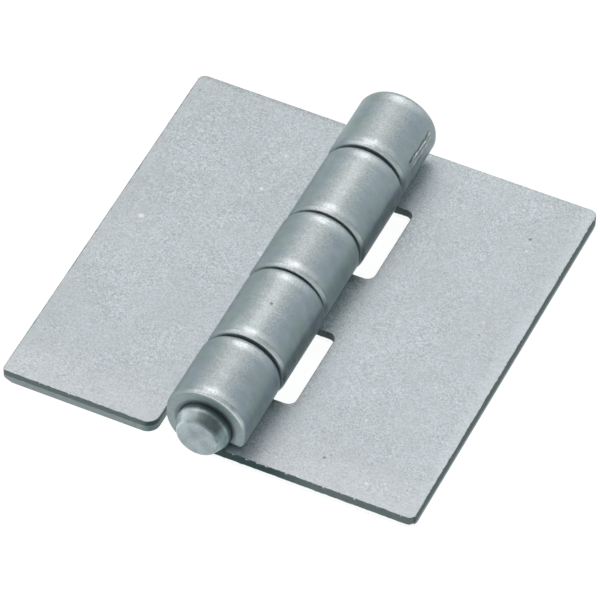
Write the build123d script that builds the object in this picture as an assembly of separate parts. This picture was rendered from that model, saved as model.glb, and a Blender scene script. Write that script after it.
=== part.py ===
# Weld-on hinge laid open flat: two rolled sheet leaves on one pin, in mm with +Z up
# Origin: on the underside, below the pin axis, halfway along the overall length
import math
import os

from build123d import *

# Sheet leaves
leaf_length = 101.6  # along the pin
leaf_reach = 50.0  # pin axis to the outer edge of each leaf
sheet = 3.6  # sheet thickness
leaf_corner = 1.8  # outer corner radius of the leaves, seen from above
sharp_corner = 1.0  # the same at the two-knuckle leaf's near corner
near_notch_corner = 3.0  # corner radius beside the near notch
far_notch_corner = 1.1  # corner radius beside the far notch
rollover = 0.4  # steep bevel that the shear left along the outer side of the sheet
rollover_lead = 0.5  # flatter bevel that leads into it
corner_run = 3.2  # length along each edge of the rise under an outer corner
corner_lift = 1.6  # height of that rise at the corner itself

# Pin
pin_dia = 12.7
pin_play = 0.08  # radial gap between the pin and the knuckles
tip_out = 4.9  # how far the tip stands out at the near end
tip_taper = 3.1  # length of the tapered part
tip_face_dia = 10.0  # across the end face
tip_dome = 0.35  # rise of the end face
tip_edge_round = 0.8  # rounding round the end face
shoulder_round = 1.2  # rounding where the taper starts
far_set_back = 0.4  # how far the far end lies inside its knuckle
far_chamfer = 0.8

# Knuckles
roll_thinning = 0.15  # how much thinner the sheet is where it is rolled
roll_lead = 6.0  # pin axis to where the underside starts to rise
roll_tightening = 0.28  # how much smaller the outer radius of the second half of the roll is
press_angle = 12.0  # direction of the pressed flat on the far knuckle, up from level
press_depth = 0.25  # depth of that flat
press_length = 14.5  # its length from the far end
end_knuckle = 18.4  # near and far knuckle of the three-knuckle leaf
middle_knuckle = 18.3  # its middle knuckle
end_gap = 1.1  # gap beside the near and far knuckles
middle_gap = 0.8  # gap beside the middle knuckle
window_gap = 2.65  # barrel to the edge of the windows and notches
window_corner = 2.0  # corner radius of the windows and notches
curl_seam = 0.3  # rolled-over end of the sheet to the top of its leaf
curl_corner = 4.5  # corner radius at the rolled-over end
curl_slant = 20.0  # how much further round its inner side ends, in degrees

# Cutting bodies run past the sheet by this much
overrun = 1.0
# Places are matched this closely when edges and corners are picked
match = 0.1

# Sizes that follow
pin_r = pin_dia / 2
bore_r = pin_r + pin_play
axis_z = bore_r + sheet
barrel_r = axis_z - roll_thinning
window_x = barrel_r + window_gap
lead_to_axis = math.hypot(axis_z, roll_lead)
rise_angle = math.degrees(math.atan2(axis_z, roll_lead) - math.asin(barrel_r / lead_to_axis))
roll_end_r = barrel_r - roll_tightening
roll_end_z = axis_z + roll_tightening
curl_angle = math.degrees(math.asin((roll_end_z - sheet - curl_seam) / roll_end_r))
curl_inner_angle = curl_angle + curl_slant
mid_y = tip_out / 2
near_y = mid_y - leaf_length / 2
far_y = mid_y + leaf_length / 2

# Where each knuckle starts and ends along the pin
near_span = (near_y, near_y + end_knuckle)
middle_span = (mid_y - middle_knuckle / 2, mid_y + middle_knuckle / 2)
far_span = (far_y - end_knuckle, far_y)
second_span = (near_span[1] + end_gap, middle_span[0] - middle_gap)
fourth_span = (middle_span[1] + middle_gap, far_span[0] - end_gap)


# Side view of a leaf: flat from the outer edge to below the pin, then rolled up and over it
def rolled_sheet():
    quarter = 90
    first = CenterArc((0, axis_z), barrel_r, -quarter - rise_angle, rise_angle - 2 * quarter)
    second = CenterArc((0, roll_end_z), roll_end_r, quarter, -quarter - curl_angle)
    inner = CenterArc((0, axis_z), bore_r, -curl_inner_angle, 3 * quarter + curl_inner_angle)
    outline = Curve() + [
        Polyline((leaf_reach, 0), (roll_lead, 0), first @ 0),
        first,
        second,
        Line(second @ 1, inner @ 0),
        inner,
        Line((0, sheet), (leaf_reach, sheet)),
        Line((leaf_reach, sheet), (leaf_reach, 0)),
    ]
    side = make_face(Plane.XZ * outline)
    return Pos(0, mid_y, 0) * extrude(side, leaf_length / 2, both=True)


# Rectangle seen from above
def plan_block(x_from, x_to, y_from, y_to):
    middle = Pos((x_from + x_to) / 2, (y_from + y_to) / 2)
    return middle * Rectangle(x_to - x_from, y_to - y_from)


# The outline with its corners at x, between two places along the pin, rounded off
def round_corners(outline, x, y_from, y_to, radius):
    at_x = [v for v in outline.vertices() if abs(v.X - x) < match]
    corners = [v for v in at_x if y_from - match < v.Y < y_to + match]
    return fillet(corners, radius) if corners else outline


# Outline of a leaf from above: a plate with one strip for each of its knuckles
def leaf_outline(spans, near_corner):
    outline = Sketch() + plan_block(window_x, leaf_reach, near_y, far_y)
    for y_from, y_to in spans:
        outline += plan_block(-barrel_r - overrun, window_x + overrun, y_from, y_to)
    outline = round_corners(outline, window_x, near_span[1], far_span[0], window_corner)
    outline = round_corners(outline, window_x, near_y, near_y, near_notch_corner)
    outline = round_corners(outline, window_x, far_y, far_y, far_notch_corner)
    outline = round_corners(outline, leaf_reach, near_y, near_y, near_corner)
    return round_corners(outline, leaf_reach, far_y, far_y, leaf_corner)


# Edges across the sheet at the two corners of each rolled-over end
def curl_edges(leaf):
    x = bore_r * math.cos(math.radians(curl_inner_angle))
    z = axis_z - bore_r * math.sin(math.radians(curl_inner_angle))
    lines = leaf.edges().filter_by(GeomType.LINE)
    across = [e for e in lines if abs(e.tangent_at(0).Y) < match]
    return [e for e in across if min(math.dist((v.X, v.Z), (x, z)) for v in e.vertices()) < match]


# Edges round the outer side of the sheet: its underside and the outside of its knuckles
def outer_edges(leaf):
    along_pin = [f for f in leaf.faces().filter_by(GeomType.CYLINDER) if abs(f.normal_at().Y) < match]
    outer = [f for f in along_pin if abs(f.radius - bore_r) > match]
    low = [f for f in leaf.faces() if f.bounding_box().max.Z < sheet / 2]
    outer += [f for f in low if f.normal_at().Z < -1 + match**2]
    edges = [e for f in outer for e in f.edges()]
    return [e for e in edges if sum(e.is_same(other) for other in edges) == 1]


# Body under an outer corner of a leaf, at the near (-1) or far (+1) end, that the shear left away
def corner_rise(end):
    y = mid_y + end * leaf_length / 2
    slope = Plane((leaf_reach - corner_run, y, 0), z_dir=(corner_lift, end * corner_lift, -corner_run))
    low = (Align.CENTER, Align.CENTER, Align.MIN)
    return slope * Box(leaf_reach, leaf_reach, leaf_reach, align=low)


# A leaf with knuckles over the given spans, reaching towards +X
def make_leaf(spans, near_corner):
    block = extrude(leaf_outline(spans, near_corner), axis_z + barrel_r + overrun)
    leaf = rolled_sheet() & Pos(0, 0, -overrun / 2) * block
    leaf = fillet(curl_edges(leaf), curl_corner)
    for bevel in (rollover, rollover_lead):
        leaf = chamfer(outer_edges(leaf), bevel)
    return leaf - corner_rise(-1) - corner_rise(1)


# Body beside the far knuckle whose flat face is pressed into it
def press_tool():
    level = Location((0, far_y, axis_z), (0, -press_angle, 0))
    low = (Align.MIN, Align.CENTER, Align.CENTER)
    tool = Box(sheet, press_length * 2, barrel_r, align=low)
    return level * Pos(roll_end_r - press_depth, 0, 0) * tool


# Pin with a tapered, slightly domed tip at the near end and a plain chamfered far end
def make_pin():
    tip_y = near_y - tip_out
    face_y = tip_y + tip_dome
    shoulder_y = face_y + tip_taper
    back_y = far_y - far_set_back
    face_r = tip_face_dia / 2
    sides = Polyline(
        (face_r, face_y),
        (pin_r, shoulder_y),
        (pin_r, back_y - far_chamfer),
        (pin_r - far_chamfer, back_y),
        (0, back_y),
        (0, tip_y),
    )
    dome = TangentArc((0, tip_y), (face_r, face_y), tangent=(1, 0))
    half = make_face(Curve() + [sides, dome])
    for x, y, radius in ((pin_r, shoulder_y, shoulder_round), (face_r, face_y, tip_edge_round)):
        corner = [v for v in half.vertices() if math.dist((v.X, v.Y), (x, y)) < match]
        half = fillet(corner, radius)
    return Pos(0, 0, axis_z) * revolve(half, Axis.Y)


pieces = {
    "three_knuckle_leaf": make_leaf([near_span, middle_span, far_span], leaf_corner) - press_tool(),
    "two_knuckle_leaf": mirror(make_leaf([second_span, fourth_span], sharp_corner), about=Plane.YZ),
    "hinge_pin": make_pin(),
}

os.makedirs("parts", exist_ok=True)
for name, piece in pieces.items():
    export_step(piece, f"parts/{name}.step")
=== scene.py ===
import math

import bpy
from mathutils import Euler, Matrix, Vector

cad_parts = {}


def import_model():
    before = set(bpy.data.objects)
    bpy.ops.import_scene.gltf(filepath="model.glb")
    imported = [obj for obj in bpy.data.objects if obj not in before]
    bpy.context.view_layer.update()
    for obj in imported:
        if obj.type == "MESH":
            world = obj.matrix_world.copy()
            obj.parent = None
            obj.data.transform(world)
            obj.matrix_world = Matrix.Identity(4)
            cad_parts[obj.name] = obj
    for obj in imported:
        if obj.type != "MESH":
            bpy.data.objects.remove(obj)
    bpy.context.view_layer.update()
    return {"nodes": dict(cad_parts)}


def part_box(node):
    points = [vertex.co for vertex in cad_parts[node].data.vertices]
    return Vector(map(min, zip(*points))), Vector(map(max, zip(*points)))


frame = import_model()

# Places on the part, in mm, from the frame
MM = 1000.0
pin_low, pin_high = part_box("hinge_pin")
leaf_low, leaf_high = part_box("three_knuckle_leaf")
AXIS_Z = (pin_low.z + pin_high.z) / 2 * MM
PIN_R = (pin_high.z - pin_low.z) / 2 * MM
BARREL_R = leaf_high.z * MM - AXIS_Z
REACH = leaf_high.x * MM
NEAR_Y = leaf_low.y * MM
FAR_Y = leaf_high.y * MM
MIDDLE_Y = (NEAR_Y + FAR_Y) / 2

# Sizes in mm that the frame's boxes don't give
PIN_PLAY = 0.08
END_KNUCKLE = 18.4
MIDDLE_KNUCKLE = 18.3
END_GAP = 1.1
MIDDLE_GAP = 0.8
WINDOW_GAP = 2.65

# Sizes and places that follow, in mm
BORE_R = PIN_R + PIN_PLAY
SHEET = AXIS_Z - BORE_R
WINDOW_X = BARREL_R + WINDOW_GAP
NEAR_SPAN = (NEAR_Y, NEAR_Y + END_KNUCKLE)
MIDDLE_SPAN = (MIDDLE_Y - MIDDLE_KNUCKLE / 2, MIDDLE_Y + MIDDLE_KNUCKLE / 2)
FAR_SPAN = (FAR_Y - END_KNUCKLE, FAR_Y)
SECOND_SPAN = (NEAR_SPAN[1] + END_GAP, MIDDLE_SPAN[0] - MIDDLE_GAP)
FOURTH_SPAN = (MIDDLE_SPAN[1] + MIDDLE_GAP, FAR_SPAN[0] - END_GAP)

# Camera of the photograph: angles in degrees, lengths in metres, lens and sensor in mm
CAMERA_AZIMUTH = 24.181
CAMERA_ELEVATION = 47.724
CAMERA_ROLL = 1.322
CAMERA_DISTANCE = 1.42
CAMERA_TARGET = (-0.00105, 0.00275, -0.00053)
CAMERA_LENS = 379.4
CAMERA_SENSOR = 36.0
CAMERA_CLIP = (0.01, 100.0)

# Lamps: place and size in metres, and watts
LAMPS = {
    "key": ((-0.23, 0.56, 0.80), 0.5, 1.15),
    "key_spread": ((-0.23, 0.56, 0.80), 1.35, 2.3),
    "side": ((0.40, 0.64, 0.70), 0.9, 0.85),
    "left": ((-0.72, -0.10, 0.75), 0.6, 1.0),
    "low_left": ((-0.98, -0.05, 0.25), 0.45, 0.6),
    "top": ((-0.20, 0.10, 1.02), 0.5, 0.5),
    "front": ((-0.20, -0.80, 0.62), 1.0, 1.2),
}
LAMP_TINT = (1.0, 0.90, 0.885)

# Studio round the part: its least level, and how much it brightens towards some directions
WORLD_LEVEL = 0.04
WORLD_SLOPES = (("Y", 1.0, 0.76), ("Y", -1.0, 0.8), ("X", 1.0, 0.12), ("X", -1.0, 0.08))

# Floor: size and drop below the part in metres, grey for the light, glow for what sees it directly
FLOOR_SIZE = 30.0
FLOOR_DROP = 0.0001
FLOOR_GREY = (0.2, 0.2, 0.2, 1.0)
FLOOR_GLOW = 0.93

# Steel, linear colours
SHEET_GREY = (0.487, 0.565, 0.592)
SHEET_WARM = (0.50, 0.565, 0.591)
ROLLED_GREEN = (0.403, 0.515, 0.517)
ROLLED_BLUE = (0.41, 0.515, 0.56)
# More neutral tint on the top of the barrel, a painted highlight tint
ROLLED_HIGHLIGHT_TINT = (0.447, 0.52, 0.533)
# Painted highlight on the bevels of the near rims
LIP_HIGHLIGHT = (0.78, 0.89, 0.91)
# Lighter colour of the worn rims, a painted highlight
BURNISHED_SHEEN = (0.56, 0.645, 0.665)
CUT_GREY = (0.245, 0.295, 0.30)
# Near white of the painted sheen on the lower cut band of the right leaf's near edges
CUT_SHEEN_WHITE = (0.94, 0.96, 0.96)
# Teal for painted shade on cut edges
CUT_TEAL = (0.195, 0.285, 0.292)
TORN_GREY = (0.105, 0.135, 0.138)
# Teal for painted shade on torn edges, also the colour of frayed edges
TORN_TEAL = (0.075, 0.138, 0.14)
END_GREY = (0.28, 0.343, 0.352)
# Light nicks on the sheared edges, and the painted highlight lines of the pressed mark
NICK_AND_GLEAM_GREY = (0.74, 0.81, 0.82)
SPECK_LIGHT = (0.75, 0.80, 0.80)
SPECK_DARK = (0.20, 0.235, 0.235)
# Rubbed steel of the pressed flat, darkened with painted shade
PRESS_LIGHT = (0.27, 0.325, 0.33)
PRESS_DARK = (0.17, 0.21, 0.215)
PIN_GREY = (0.45, 0.535, 0.562)
# Teal of the painted shade on the pin's cone
PIN_TEAL = (0.265, 0.355, 0.365)
# Dark of painted shade: where the pin enters the barrel, and lines on the pressed mark
PAINTED_SHADE = (0.09, 0.115, 0.12)

# Rounding that the shading gives to edges, and depth of the relief, in metres
SOFT_EDGE = 0.0003
SOFT_RIM = 0.0011
SOFT_SAMPLES = 6
RELIEF_DEPTH = 0.00004

# Relief of the steel: strength, and height of each kind of unevenness beside that of the fine grain
LEAF_RELIEF = 0.25
PIN_RELIEF = 0.2
GRAIN_HEIGHT = 1.5
EDGE_HEIGHT = 0.5
BURNISH_FLATTENS = 0.85

# Roughness of the steel, and what each kind of unevenness adds to it
LEAF_ROUGH = 0.5
PIN_ROUGH = 0.36
FINE_ROUGHENS = 0.2
MOTTLE_ROUGHENS = 0.5
BURNISH_SMOOTHS = -0.24
POLISH_SMOOTHS = -0.35
PIN_GRAIN_ROUGHENS = 0.3
PIN_CLOUD_ROUGHENS = 0.15

# Factors on x, y and z for noise: below 1 it is stretched, above 1 squeezed
EDGE_SQUEEZE = (1.0, 1.0, 0.35)
RUB_SQUEEZE = (0.5, 0.5, 2.5)
DRAWN_SQUEEZE = (0.3, 1.0, 0.3)
STREAK_SQUEEZE = (1.0, 0.4, 1.0)

# Pairs below are soft borders: where a change starts and where it is complete, with places in mm
# Triples are bands: middle, half width and soft border, in mm

# Regions of a leaf, by place or by a part of the unit normal
ROLL_ABOVE = (SHEET + 0.1, SHEET + 0.4)
ROLL_PAST_AXIS = (0.5, -0.5)
ROLL_WITHIN = (BARREL_R + 0.4, BARREL_R + 0.15)
END_NORMAL = (0.75, 0.9)
EDGE_NORMAL = (0.6, 0.3)
LOW_BEVEL_NORMAL = (-0.95, -0.85)
TOP_NORMAL = (0.8, 0.95)
MARGIN = (-4.0, -1.0)
WINDOW_ACROSS = (WINDOW_X + 0.9, WINDOW_X + 0.1)
WINDOW_ALONG = (MIDDLE_Y, FAR_SPAN[0] - MIDDLE_Y + 0.1, 1.0)

# Plate
PATCHES = (0.35, 0.65)
# Painted light at the near end of the plate, and painted shade towards its far end
NEAR_LIFT = (NEAR_Y + 12.0, NEAR_Y + 4.0)
NEAR_WARMTH = (NEAR_Y + 14.0, NEAR_Y + 2.0)
FAR_FALL = (MIDDLE_Y - 12.45, MIDDLE_Y + 22.55)
# Painted shade along the far edge of the left plate
FAR_RIM = (FAR_Y - 1.6, FAR_Y - 0.5)
# Painted light on the right plate beside the barrel, and along its margins
BESIDE_BARREL_X = (WINDOW_X + 13.5, WINDOW_X + 1.5)
BESIDE_BARREL_Y = (FAR_Y - 8.25, MIDDLE_Y - 2.45)
MARGIN_LIFT = 0.075

# Barrel
RIM_WEAR = (3.4, 1.8)
RIM_CLEAR = (0.3, 1.2)
RIM_WAVER = 5.0
RIM_SHINE = 0.6
# Band over the top of the barrel that holds the worn rims and their painted highlight
WEAR_AND_SHEEN_BAND = (1.5, 4.0, 3.5)
BLUE_PATCHES = (0.42, 0.62)
# Painted reflection tint: a blue band along the barrel beside its top
BLUE_REFLECTION_BAND = (5.8, 1.2, 1.5)
# Painted highlight tint along the top of the barrel
HIGHLIGHT_TINT_BAND = (0.5, 1.5, 3.5)
# Painted glints along the top of the barrel
GLINT_BAND = (1.0, 2.6, 4.5)
# Painted highlight streaks along the top of the barrel
RIGHT_STREAK = (0.8, 0.4, 2.0)
LEFT_STREAK = (1.0, 0.5, 1.8)
# Painted shade on the barrel's flanks: right, low right on the left leaf's knuckles, and left; deeper on
# the far knuckle
RIGHT_FLANK = (6.8, 9.2)
LOW_FLANK = (9.1, 9.6)
LEFT_FLANK = (-3.5, -7.0)
FAR_KNUCKLE = (FAR_SPAN[0] + 0.15, FAR_SPAN[0] + 5.15)
# Painted highlight on the near rim bevels: which way they face, and how far across the barrel
LIP_NORMAL = (-0.1, -0.35)
LIP_UPWARD = (0.1, 0.45)
LIP_ACROSS = (-7.0, 0.0)
# Painted shade on the rim bevels that face the far end
FAR_BEVEL_NORMAL = (0.3, 0.6)

# Pressed mark on the far knuckle, with heights over the pin axis
PRESS_ACROSS = (7.0, 8.0)
PRESS_NEAR = (FAR_Y - 14.45, FAR_Y - 13.05)
PRESS_FAR = (FAR_Y - 2.25, FAR_Y - 2.85)
PRESS_RUBBED = (0.35, 0.65)
PRESS_BROKEN = (0.38, 0.52)
PRESS_FLAT = (2.27, 1.3, 0.5)
# Painted shade along the groove and crease, and painted highlights along the ridge and gleam
PRESS_GROOVE = (3.92, 0.2, 0.3)
PRESS_RIDGE = (3.17, 0.12, 0.3)
PRESS_CREASE = (2.57, 0.1, 0.3)
PRESS_GLEAM = (1.97, 0.1, 0.3)

# Sheared edges and knuckle ends
RIGHT_TEAR = (1.25, 1.55)
LEFT_TEAR = (2.0, 2.3)
TEAR_WAVER = 0.5
# Painted shade on the sheared edges near the barrel: where it starts and where it is full
RIGHT_DIM = (WINDOW_X + 13.5, WINDOW_X + 1.0)
LEFT_DIM = (WINDOW_X + 3.5, WINDOW_X + 1.0)
OUTER_NORMAL = (0.75, 0.97)
TORN_TONE = 1.1
TORN_DIMMING = 0.68
RIGHT_CHIPS = (0.59, 0.67)
LEFT_CHIPS = (0.61, 0.69)
NICK_HEIGHT = (SHEET - 0.5, SHEET - 0.1)
# Painted sheen on the lower cut band of edges that face the near end
SHEEN_CUT_NORMAL = (-0.4, -0.6)
FRAYED = (-0.2, 0.0)
FRAY_WAVER = 0.9
TORN_RING = (BORE_R + 1.3, BORE_R + 0.7)
# Painted light on the knuckle ends seen in the gaps
INNER_ENDS = (NEAR_Y + 5.0, NEAR_Y + 8.0)

# Pin, with the fine rings that turning left on it, in radians per mm
RING_PACE = 9.0
RING_WANDER = 14.0
RING_TONE = 0.02
FACE_NORMAL = (-0.8, -0.97)
# Painted shade on the pin's end face, lighter towards its top left
FACE_LIGHT = (2.0, 6.0)
# Painted shade on one side of the cone
CONE_DIM = (-3.5, 1.0)
# Painted highlight line at the shoulder
SHOULDER = (NEAR_Y - 1.75, 0.12, 0.3)
SHOULDER_WAVER = 0.6
SHOULDER_ACROSS = (-4.0, 0.0)
# Painted shade on the pin where it enters the barrel
SHADE_AT_ENTRY = (NEAR_Y - 1.4, NEAR_Y - 0.5)
# Painted light on the pin in the gaps between the knuckles
INSIDE_NEAR = (NEAR_Y + 2.0, NEAR_Y + 6.0)
INSIDE_FAR = (FAR_Y - 2.0, FAR_Y - 6.0)
GAP_LIGHT_TONE = 1.2


def on_sheet(x, y):
    return (x, y, SHEET)


def on_barrel(x, y):
    return (x, y, AXIS_Z + math.sqrt(BARREL_R**2 - x**2))


# Single specks that the photograph shows: place, radius in mm, colour
RIGHT_MARKS = (
    (on_sheet(39.4, 38.8), 0.55, SPECK_DARK),
    (on_sheet(25.1, -40.5), 0.5, SPECK_DARK),
    (on_sheet(36.5, -43.3), 0.5, SPECK_LIGHT),
)
LEFT_MARKS = (
    (on_barrel(1.33, -17.82), 0.55, SPECK_DARK),
    (on_sheet(-21.9, 26.5), 0.55, SPECK_LIGHT),
    (on_sheet(-21.4, 38.2), 0.45, SPECK_LIGHT),
    (on_sheet(-42.8, 7.0), 0.85, SPECK_LIGHT),
    (on_sheet(-13.9, 8.2), 0.42, SPECK_LIGHT),
    (on_sheet(-13.3, 7.75), 0.42, SPECK_LIGHT),
)


class Graph:
    """The nodes of a material or a world, with short calls for the kinds that are needed."""

    def __init__(self, owner):
        owner.use_nodes = True
        self.owner = owner
        self.tree = owner.node_tree
        self.tree.nodes.clear()

    def node(self, kind, **settings):
        made = self.tree.nodes.new(kind)
        for key, value in settings.items():
            setattr(made, key, value)
        return made

    def feed(self, socket, value):
        if isinstance(value, bpy.types.NodeSocket):
            self.tree.links.new(value, socket)
        else:
            socket.default_value = value

    def feed_all(self, sockets, values):
        for socket, value in zip(sockets, values):
            self.feed(socket, value)

    def feed_named(self, node, **values):
        """Feed inputs by name, with _ in place of a space."""
        for name, value in values.items():
            self.feed(node.inputs[name.replace("_", " ")], value)

    def output(self, kind, shader):
        self.feed(self.node(kind).inputs[0], shader)

    def math(self, operation, *values):
        made = self.node("ShaderNodeMath", operation=operation)
        self.feed_all(made.inputs, values)
        return made.outputs[0]

    def add(self, first, *others):
        for other in others:
            first = self.math("ADD", first, other)
        return first

    def sub(self, a, b):
        return self.math("SUBTRACT", a, b)

    def mul(self, first, *others):
        for other in others:
            first = self.math("MULTIPLY", first, other)
        return first

    def either(self, first, *others):
        for other in others:
            first = self.math("MAXIMUM", first, other)
        return first

    def nearest(self, first, *others):
        for other in others:
            first = self.math("MINIMUM", first, other)
        return first

    def inverse(self, a):
        return self.sub(1.0, a)

    def size(self, a):
        return self.math("ABSOLUTE", a)

    def step(self, value, start, stop, before=0.0, after=1.0):
        """Smooth change from before to after, as the value goes from start to stop."""
        made = self.node("ShaderNodeMapRange", interpolation_type="SMOOTHSTEP")
        self.feed_named(made, Value=value, From_Min=start, From_Max=stop, To_Min=before, To_Max=after)
        return made.outputs[0]

    def band(self, value, middle, half, soft, inside=1.0):
        return self.step(self.size(self.sub(value, middle)), half + soft, half, after=inside)

    def split(self, vector):
        made = self.node("ShaderNodeSeparateXYZ")
        self.feed(made.inputs[0], vector)
        return made.outputs

    def scaled(self, place, factors):
        made = self.node("ShaderNodeVectorMath", operation="MULTIPLY")
        self.feed_all(made.inputs, (place, factors))
        return made.outputs[0]

    def spot(self, place, middle, radius, strength):
        made = self.node("ShaderNodeVectorMath", operation="DISTANCE")
        self.feed_all(made.inputs, (place, middle))
        return self.step(made.outputs["Value"], radius, radius / 2, after=strength)

    def noise(self, place, scale, detail=2.0, rough=0.5):
        """Noise from 0 to 1, with its scale per mm."""
        made = self.node("ShaderNodeTexNoise")
        self.feed_named(made, Vector=place, Scale=scale, Detail=detail, Roughness=rough)
        return made.outputs["Fac"]

    def ripple(self, place, scale, amount, detail=2.0, rough=0.5):
        """Noise about 0, from half the amount below to half the amount above."""
        return self.mul(self.sub(self.noise(place, scale, detail, rough), 0.5), amount)

    def specks(self, place, scale, radius, share, strength):
        """Round specks in the given share of a texture's cells."""
        made = self.node("ShaderNodeTexVoronoi")
        self.feed_named(made, Vector=place, Scale=scale)
        pick = self.split(made.outputs["Color"])[0]
        speck = self.step(made.outputs["Distance"], radius, radius / 2)
        return self.mul(speck, self.step(pick, share, share * 0.8, after=strength))

    def mix(self, share, a, b):
        """Colour a, with the given share of colour b."""
        made = self.node("ShaderNodeMix", data_type="RGBA")
        self.feed(made.inputs[0], share)
        for socket, colour in zip((made.inputs[6], made.inputs[7]), (a, b)):
            if not isinstance(colour, bpy.types.NodeSocket):
                colour = (*colour, 1.0)
            self.feed(socket, colour)
        return made.outputs[2]

    def shade(self, colour, tone):
        made = self.node("ShaderNodeVectorMath", operation="SCALE")
        self.feed(made.inputs[0], colour)
        self.feed_named(made, Scale=tone)
        return made.outputs[0]

    def relief(self, height, strength, edge_round):
        """Normal with rounded edges and a fine relief."""
        soft = self.node("ShaderNodeBevel", samples=SOFT_SAMPLES)
        self.feed_named(soft, Radius=edge_round)
        made = self.node("ShaderNodeBump")
        self.feed_named(made, Height=height, Strength=strength, Distance=RELIEF_DEPTH)
        self.feed_named(made, Normal=soft.outputs[0])
        return made.outputs[0]


class Steel(Graph):
    """Steel of one piece, with the places on it that its colours follow."""

    def __init__(self, name):
        super().__init__(bpy.data.materials.new(name))
        coords = self.node("ShaderNodeTexCoord").outputs
        self.place = self.scaled(coords["Object"], (MM, MM, MM))
        self.x, self.y, self.z = self.split(self.place)
        self.nx, self.ny, self.nz = self.split(coords["Normal"])
        self.up = self.sub(self.z, AXIS_Z)
        squares = self.add(self.mul(self.x, self.x), self.mul(self.up, self.up))
        self.from_axis = self.math("SQRT", squares)

    def finished(self, colour, rough, normal):
        """The material, with its shader."""
        shader = self.node("ShaderNodeBsdfPrincipled")
        shader.inputs["Metallic"].default_value = 1.0
        self.feed_named(shader, Base_Color=colour, Roughness=rough, Normal=normal)
        self.output("ShaderNodeOutputMaterial", shader.outputs[0])
        return self.owner


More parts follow.
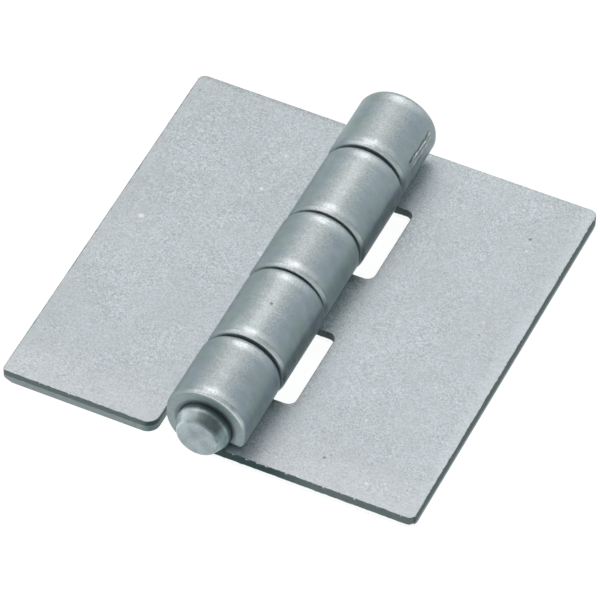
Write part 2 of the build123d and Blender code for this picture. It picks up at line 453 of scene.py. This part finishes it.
class LeafSteel(Steel):
    """Steel of one leaf; side is 1 where the leaf reaches towards +X, and -1 where towards -X."""

    def __init__(self, name, side):
        super().__init__(name)
        self.out = self.mul(self.x, side)
        self.facing_out = self.mul(self.nx, side)
        self.past_edge = self.either(self.sub(self.out, REACH), self.sub(NEAR_Y, self.y))
        self.margin = self.step(self.past_edge, *MARGIN)
        self.regions()
        self.textures()

    def regions(self):
        """Masks of the knuckles, their rolled sides and ends, the flat plate, and all but the windows."""
        past_flat = self.either(self.step(self.z, *ROLL_ABOVE), self.step(self.out, *ROLL_PAST_AXIS))
        self.knuckle = self.mul(self.step(self.from_axis, *ROLL_WITHIN), past_flat)
        facing_end = self.step(self.size(self.ny), *END_NORMAL)
        self.end = self.mul(self.knuckle, facing_end)
        self.rolled = self.mul(self.knuckle, self.inverse(facing_end))
        self.plate = self.inverse(self.knuckle)
        window = self.mul(self.step(self.out, *WINDOW_ACROSS), self.band(self.y, *WINDOW_ALONG))
        self.not_window = self.inverse(window)

    def textures(self):
        """Noise that the plate, its edges and the knuckles share."""
        patchy = self.step(self.noise(self.place, scale=0.11), *PATCHES, before=0.8, after=1.35)
        fine = self.ripple(self.place, scale=2.9, amount=1.1, detail=1.0)
        self.fine = self.mul(fine, patchy, self.step(self.margin, 0.0, 1.0, before=1.0, after=0.6))
        self.grain = self.mul(self.ripple(self.place, scale=1.1, amount=0.28), patchy)
        self.cloud = self.ripple(self.place, scale=0.28, amount=0.16)
        self.mottle = self.ripple(self.place, scale=0.45, amount=0.36, detail=3.0)
        self.along = self.scaled(self.place, EDGE_SQUEEZE)
        slow = self.ripple(self.along, scale=0.35, amount=1.0, detail=3.0, rough=0.7)
        self.waver = self.add(slow, self.ripple(self.along, scale=1.6, amount=0.4))
        rubbed = self.scaled(self.place, RUB_SQUEEZE)
        self.rub = self.add(1.0, self.ripple(rubbed, scale=1.2, amount=0.7, detail=3.0))

    def wavy_y(self, waver):
        return self.add(self.y, self.mul(self.cloud, waver))

    def painted_plate_light(self):
        """Painted light that makes the plate lighter at its near end, and painted shade that makes it
        darker towards its far end.
        """
        near = self.step(self.wavy_y(waver=30.0), *NEAR_LIFT, after=0.05)
        return self.add(near, self.step(self.y, *FAR_FALL, after=-0.03))

    def plate_colour(self, painted_lift):
        """Fine grain, faint clouds and a few specks."""
        drift = self.ripple(self.place, scale=0.06, amount=0.12, detail=1.0)
        tone = self.add(1.0, self.fine, self.grain, self.cloud, drift, painted_lift)
        warmth = self.step(self.wavy_y(waver=60.0), *NEAR_WARMTH)
        colour = self.shade(self.mix(warmth, SHEET_GREY, SHEET_WARM), tone)
        light = self.specks(self.place, scale=0.35, radius=0.16, share=0.12, strength=0.6)
        dark = self.specks(self.place, scale=0.27, radius=0.12, share=0.10, strength=0.5)
        return self.mix(dark, self.mix(light, colour, SPECK_LIGHT), SPECK_DARK)

    def rim_wear_and_sheen(self, spans, strength):
        """Where the top of the knuckles is worn smooth close to their rims, and carries a painted highlight
        there.
        """
        away = self.nearest(*[self.size(self.sub(self.y, rim)) for span in spans for rim in span])
        wavy = self.add(away, self.mul(self.mottle, RIM_WAVER))
        wear_and_sheen = self.mul(self.step(wavy, *RIM_WEAR), self.step(away, *RIM_CLEAR))
        return self.mul(wear_and_sheen, self.band(self.x, *WEAR_AND_SHEEN_BAND, inside=strength))

    def roll_colour(self, wear_and_sheen, painted_light):
        """Mottled, with a green or blue cast, painted glints and a painted highlight tint on the top, a
        painted reflection tint, painted shade on the flanks and far rim bevels, and worn rims and near rim
        bevels with painted highlights.
        """
        # Painted glints along the top of the barrel
        glint = self.ripple(self.place, scale=2.4, amount=0.74, detail=1.0)
        glint = self.mul(glint, self.band(self.x, *GLINT_BAND))
        drawn = self.ripple(self.scaled(self.place, DRAWN_SQUEEZE), scale=0.5, amount=0.2)
        # Painted shade on the left flank
        painted_light = self.add(painted_light, self.step(self.x, *LEFT_FLANK, after=-0.17))
        tone = self.add(1.0, glint, self.mottle, drawn, painted_light)
        # Blue cast in random patches, and a painted reflection tint in a band along the barrel
        patches = self.step(self.noise(self.place, scale=0.16, detail=1.0), *BLUE_PATCHES)
        blue_cast_and_reflection = self.either(patches, self.band(self.x, *BLUE_REFLECTION_BAND))
        colour = self.mix(blue_cast_and_reflection, ROLLED_GREEN, ROLLED_BLUE)
        # Painted highlight tint along the top
        colour = self.mix(self.band(self.x, *HIGHLIGHT_TINT_BAND), colour, ROLLED_HIGHLIGHT_TINT)
        colour = self.shade(colour, tone)
        # Painted highlight on the worn rims
        colour = self.mix(self.mul(wear_and_sheen, RIM_SHINE), colour, self.shade(BURNISHED_SHEEN, tone))
        # Painted highlight on the near rim bevels, which face forward and up
        lip_highlight = self.mul(self.step(self.ny, *LIP_NORMAL), self.step(self.nz, *LIP_UPWARD))
        lip_highlight = self.mul(lip_highlight, self.step(self.x, *LIP_ACROSS))
        colour = self.mix(lip_highlight, colour, self.shade(LIP_HIGHLIGHT, tone))
        # Painted shade on the rim bevels that face the far end
        return self.mix(self.step(self.ny, *FAR_BEVEL_NORMAL, after=0.6), colour, TORN_GREY)

    def marked(self, colour, marks):
        """The colour with single specks."""
        for middle, radius, speck in marks:
            colour = self.mix(self.spot(self.place, middle, radius, strength=0.85), colour, speck)
        return colour

    def pressed(self, colour):
        """The colour with the uneven mark on the flat that is pressed into the far knuckle: rubbed steel
        darkened by painted shade, with painted shade along its groove and crease and painted highlights
        along its ridge and gleam lines.
        """
        here = self.mul(self.step(self.y, *PRESS_NEAR), self.step(self.y, *PRESS_FAR))
        here = self.mul(here, self.step(self.x, *PRESS_ACROSS))
        slow = self.ripple(self.place, scale=0.35, amount=1.5)
        wavy = self.add(self.up, slow, self.ripple(self.place, scale=1.3, amount=0.5))
        streaks = self.noise(self.scaled(self.place, STREAK_SQUEEZE), scale=0.9, detail=3.0)
        rubbed = self.step(streaks, *PRESS_RUBBED)
        broken = self.step(self.noise(self.place, scale=0.7, detail=1.0), *PRESS_BROKEN, before=0.35)
        flat = self.mul(here, self.band(self.up, *PRESS_FLAT, inside=0.7))
        colour = self.mix(flat, colour, self.mix(rubbed, PRESS_DARK, PRESS_LIGHT))
        lines = (
            (PRESS_GROOVE, broken, 0.9, PAINTED_SHADE),
            (PRESS_RIDGE, rubbed, 0.9, NICK_AND_GLEAM_GREY),
            (PRESS_CREASE, self.inverse(rubbed), 0.7, PAINTED_SHADE),
            (PRESS_GLEAM, broken, 0.5, NICK_AND_GLEAM_GREY),
        )
        for line, where, strength, line_colour in lines:
            share = self.mul(here, where, self.band(wavy, *line, inside=strength))
            colour = self.mix(share, colour, line_colour)
        return colour

    def torn(self, tear):
        """Where the edge is torn: above a wavy line round the sheet."""
        return self.step(self.add(self.z, self.mul(self.waver, TEAR_WAVER)), *tear)

    def edge_colour(self, torn, dim_from, cut_dimming):
        """Torn steel and smooth cut steel, with painted shade that makes them darker and more teal near the
        barrel and on the outer edge.
        """
        # Painted shade near the barrel and on outward-facing edges
        painted_dim = self.either(self.step(self.out, *dim_from), self.step(self.facing_out, *OUTER_NORMAL))
        teal = self.mul(painted_dim, self.not_window)
        torn_tone = self.mul(self.rub, self.sub(TORN_TONE, self.mul(painted_dim, TORN_DIMMING)))
        cut_tone = self.mul(self.rub, self.inverse(self.mul(painted_dim, cut_dimming)))
        torn_colour = self.shade(self.mix(teal, TORN_GREY, TORN_TEAL), torn_tone)
        cut_colour = self.shade(self.mix(teal, CUT_GREY, CUT_TEAL), cut_tone)
        return self.mix(torn, cut_colour, torn_colour)

    def edged(self, colour, edge, edge_colour, chips):
        """The colour with the sheared edges, chipped and frayed where they meet the top of the sheet."""
        chipped = self.step(self.noise(self.along, scale=0.8, detail=3.0, rough=0.7), *chips)
        chipped = self.mul(chipped, self.not_window)
        nick = self.mul(self.step(self.z, *NICK_HEIGHT), chipped)
        colour = self.mix(edge, colour, self.mix(nick, edge_colour, NICK_AND_GLEAM_GREY))
        wavy = self.add(self.past_edge, self.mul(self.waver, FRAY_WAVER))
        frayed = self.mul(self.plate, self.step(self.nz, *TOP_NORMAL), self.step(wavy, *FRAYED, after=0.85))
        return self.mix(frayed, colour, self.mix(chipped, self.shade(TORN_TEAL, self.rub), NICK_AND_GLEAM_GREY))

    def ended(self, colour):
        """The colour with the knuckles' ends, which have a torn ring round the bore, and painted light on
        the ends that face the gaps.
        """
        wavy = self.add(self.from_axis, self.ripple(self.place, scale=0.5, amount=0.8))
        ring = self.step(wavy, *TORN_RING, after=0.6)
        tone = self.mul(self.rub, self.step(self.y, *INNER_ENDS, before=1.0, after=1.45))
        end_colour = self.mix(ring, self.shade(END_GREY, tone), self.shade(TORN_GREY, tone))
        return self.mix(self.end, colour, end_colour)

    def roughness(self, burnish):
        fine = self.mul(self.fine, FINE_ROUGHENS)
        mottle = self.mul(self.rolled, self.mottle, MOTTLE_ROUGHENS)
        return self.add(LEAF_ROUGH, fine, mottle, self.mul(burnish, BURNISH_SMOOTHS))

    def normal(self, edge, burnish):
        """Fine relief, flatter where the steel is burnished, with rounder rims on the knuckles."""
        grain = self.mul(self.grain, GRAIN_HEIGHT)
        height = self.add(self.fine, grain, self.mul(edge, self.waver, EDGE_HEIGHT))
        height = self.mul(height, self.inverse(self.mul(burnish, BURNISH_FLATTENS)))
        edge_round = self.step(self.knuckle, 0.0, 1.0, before=SOFT_EDGE, after=SOFT_RIM)
        return self.relief(height, LEAF_RELIEF, edge_round)


def right_leaf_steel():
    leaf = LeafSteel("right_leaf_steel", side=1.0)
    # Painted light on the plate beside the barrel and along its outer and near margins
    beside_barrel = leaf.step(leaf.y, *BESIDE_BARREL_Y, after=0.06)
    beside_barrel = leaf.mul(beside_barrel, leaf.step(leaf.x, *BESIDE_BARREL_X))
    painted_lift = leaf.either(leaf.painted_plate_light(), beside_barrel, leaf.mul(leaf.margin, MARGIN_LIFT))

    wear_and_sheen = leaf.rim_wear_and_sheen((NEAR_SPAN, MIDDLE_SPAN, FAR_SPAN), strength=0.9)
    # Painted shade on the right flank, deeper on the far knuckle, and a faint painted highlight streak on
    # the top
    painted_light = leaf.step(leaf.x, *RIGHT_FLANK, after=-0.22)
    painted_light = leaf.mul(painted_light, leaf.step(leaf.y, *FAR_KNUCKLE, before=1.0, after=1.4))
    painted_light = leaf.add(painted_light, leaf.band(leaf.x, *RIGHT_STREAK, inside=0.03))
    colour = leaf.mix(leaf.rolled, leaf.plate_colour(painted_lift), leaf.roll_colour(wear_and_sheen, painted_light))
    colour = leaf.pressed(leaf.marked(colour, RIGHT_MARKS))

    upright = leaf.mul(leaf.step(leaf.nz, *EDGE_NORMAL), leaf.step(leaf.nz, *LOW_BEVEL_NORMAL))
    edge = leaf.mul(leaf.plate, upright)
    torn = leaf.torn(RIGHT_TEAR)
    # Painted sheen and smoother steel on the lower cut band of edges facing the near end
    polish_and_sheen = leaf.mul(edge, leaf.step(leaf.ny, *SHEEN_CUT_NORMAL), leaf.inverse(torn))
    edge_colour = leaf.edge_colour(torn, RIGHT_DIM, cut_dimming=0.15)
    edge_colour = leaf.mix(polish_and_sheen, edge_colour, CUT_SHEEN_WHITE)
    colour = leaf.ended(leaf.edged(colour, edge, edge_colour, RIGHT_CHIPS))

    burnish = leaf.mul(leaf.rolled, wear_and_sheen)
    rough = leaf.add(leaf.roughness(burnish), leaf.mul(polish_and_sheen, POLISH_SMOOTHS))
    return leaf.finished(colour, rough, leaf.normal(edge, burnish))


def left_leaf_steel():
    leaf = LeafSteel("left_leaf_steel", side=-1.0)
    # Painted shade along the far edge of the plate
    painted_lift = leaf.add(leaf.painted_plate_light(), leaf.step(leaf.wavy_y(waver=4.0), *FAR_RIM, after=-0.12))

    wear_and_sheen = leaf.rim_wear_and_sheen((SECOND_SPAN, FOURTH_SPAN), strength=0.65)
    # Painted shade on the right and low right flank, and a painted highlight streak on the top
    painted_light = leaf.step(leaf.x, *RIGHT_FLANK, after=-0.22)
    painted_light = leaf.add(painted_light, leaf.step(leaf.x, *LOW_FLANK, after=-0.28))
    painted_light = leaf.add(painted_light, leaf.band(leaf.x, *LEFT_STREAK, inside=0.16))
    colour = leaf.mix(leaf.rolled, leaf.plate_colour(painted_lift), leaf.roll_colour(wear_and_sheen, painted_light))
    colour = leaf.marked(colour, LEFT_MARKS)

    edge = leaf.mul(leaf.plate, leaf.step(leaf.size(leaf.nz), *EDGE_NORMAL))
    edge_colour = leaf.edge_colour(leaf.torn(LEFT_TEAR), LEFT_DIM, cut_dimming=0.4)
    colour = leaf.ended(leaf.edged(colour, edge, edge_colour, LEFT_CHIPS))

    burnish = leaf.mul(leaf.rolled, wear_and_sheen)
    return leaf.finished(colour, leaf.roughness(burnish), leaf.normal(edge, burnish))


def pin_steel():
    pin = Steel("pin_steel")
    grain = pin.ripple(pin.place, scale=2.4, amount=0.4)
    cloud = pin.ripple(pin.place, scale=0.5, amount=0.4, detail=3.0)
    rings = pin.add(pin.mul(pin.from_axis, RING_PACE), pin.mul(cloud, RING_WANDER))
    turned = pin.mul(pin.math("SINE", rings), RING_TONE)
    tone = pin.add(1.0, grain, cloud, turned)

    # End face with painted shade, lighter towards its top left, and the cone behind it with painted shade
    # on one side and a painted highlight line at its shoulder
    face = pin.step(pin.ny, *FACE_NORMAL)
    beside_face = pin.inverse(face)
    painted_face_tone = pin.step(pin.sub(pin.up, pin.x), *FACE_LIGHT, before=-0.31, after=-0.16)
    painted_face_tone = pin.add(painted_face_tone, pin.ripple(pin.place, scale=0.22, amount=0.5, detail=1.0))
    streaks = pin.ripple(pin.scaled(pin.place, STREAK_SQUEEZE), scale=0.6, amount=4.0)
    painted_dim = pin.step(pin.add(pin.x, streaks), *CONE_DIM)
    shoulder_highlight = pin.band(pin.add(pin.y, pin.mul(cloud, SHOULDER_WAVER)), *SHOULDER)
    shoulder_highlight = pin.mul(shoulder_highlight, pin.step(pin.x, *SHOULDER_ACROSS, after=0.55))
    painted_cone_tone = pin.add(pin.step(painted_dim, 0.0, 1.0, before=0.25, after=-0.12), cloud, shoulder_highlight)
    tip_tone = pin.add(tone, pin.mul(face, painted_face_tone), pin.mul(beside_face, painted_cone_tone))
    colour = pin.shade(pin.mix(pin.mul(painted_dim, beside_face), PIN_GREY, PIN_TEAL), tip_tone)

    # Painted shade where the pin enters the barrel, and painted light on the pin in the gaps between the
    # knuckles
    entry_shade = pin.step(pin.add(pin.y, cloud), *SHADE_AT_ENTRY, after=0.5)
    colour = pin.mix(entry_shade, colour, pin.shade(PAINTED_SHADE, pin.add(1.0, grain)))
    # Painted light on the pin in the gaps between the knuckles
    inside = pin.mul(pin.step(pin.y, *INSIDE_NEAR), pin.step(pin.y, *INSIDE_FAR))
    colour = pin.mix(inside, colour, pin.shade(PIN_GREY, pin.mul(tone, GAP_LIGHT_TONE)))

    rough = pin.add(PIN_ROUGH, pin.mul(grain, PIN_GRAIN_ROUGHENS), pin.mul(cloud, PIN_CLOUD_ROUGHENS))
    return pin.finished(colour, rough, pin.relief(pin.add(turned, grain), PIN_RELIEF, SOFT_RIM))


def dress(node, material):
    for slot in frame["nodes"][node].material_slots:
        slot.material = material


def camera():
    """Camera of the photograph, set by where it stands round its target."""
    data = bpy.data.cameras.new("camera")
    data.sensor_width = CAMERA_SENSOR
    data.lens = CAMERA_LENS
    data.clip_start, data.clip_end = CAMERA_CLIP
    angles = (math.radians(90 - CAMERA_ELEVATION), 0, math.radians(CAMERA_AZIMUTH))
    turn = Euler(angles).to_matrix() @ Matrix.Rotation(math.radians(CAMERA_ROLL), 3, "Z")
    at = Vector(CAMERA_TARGET) + turn.col[2] * CAMERA_DISTANCE
    eye = bpy.data.objects.new("camera", data)
    eye.matrix_world = Matrix.Translation(at) @ turn.to_4x4()
    bpy.context.scene.collection.objects.link(eye)
    bpy.context.scene.camera = eye


def softbox(name, at, size, watts):
    """Square lamp that faces the part."""
    data = bpy.data.lights.new(name, "AREA")
    data.size = size
    data.energy = watts
    data.color = LAMP_TINT
    lamp = bpy.data.objects.new(name, data)
    lamp.location = at
    lamp.rotation_mode = "QUATERNION"
    lamp.rotation_quaternion = Vector(at).to_track_quat("Z", "Y")
    bpy.context.scene.collection.objects.link(lamp)


def world():
    """Dim studio, lighter behind the part and in front of it."""
    studio = bpy.data.worlds.new("studio")
    bpy.context.scene.world = studio
    g = Graph(studio)
    direction = g.split(g.node("ShaderNodeTexCoord").outputs["Generated"])
    level = WORLD_LEVEL
    for axis, sign, slope in WORLD_SLOPES:
        ahead = g.either(g.mul(direction[axis], sign), 0.0)
        level = g.add(g.mul(ahead, slope), level)
    back = g.node("ShaderNodeBackground")
    g.feed_named(back, Strength=level)
    g.output("ShaderNodeOutputWorld", back.outputs[0])


def floor_paint():
    """Grey that takes the part's shadow, made white for camera, glossy and transmission rays."""
    made = bpy.data.materials.new("floor")
    g = Graph(made)
    matt = g.node("ShaderNodeBsdfDiffuse")
    matt.inputs["Color"].default_value = FLOOR_GREY
    path = g.node("ShaderNodeLightPath").outputs
    seen = g.either(path["Is Camera Ray"], path["Is Glossy Ray"], path["Is Transmission Ray"])
    glow = g.node("ShaderNodeEmission")
    g.feed_named(glow, Strength=g.mul(seen, FLOOR_GLOW))
    both = g.node("ShaderNodeAddShader")
    g.feed_all(both.inputs, (matt.outputs[0], glow.outputs[0]))
    g.output("ShaderNodeOutputMaterial", both.outputs[0])
    made.cycles.emission_sampling = "NONE"
    return made


def floor():
    bpy.ops.mesh.primitive_plane_add(size=FLOOR_SIZE, location=(0, 0, -FLOOR_DROP))
    plane = bpy.context.object
    plane.name = "floor"
    plane.data.materials.append(floor_paint())


dress("three_knuckle_leaf", right_leaf_steel())
dress("two_knuckle_leaf", left_leaf_steel())
dress("hinge_pin", pin_steel())
camera()
world()
floor()
for name, (at, size, watts) in LAMPS.items():
    softbox(name, at, size, watts)
bpy.context.scene.view_settings.view_transform = "Standard"
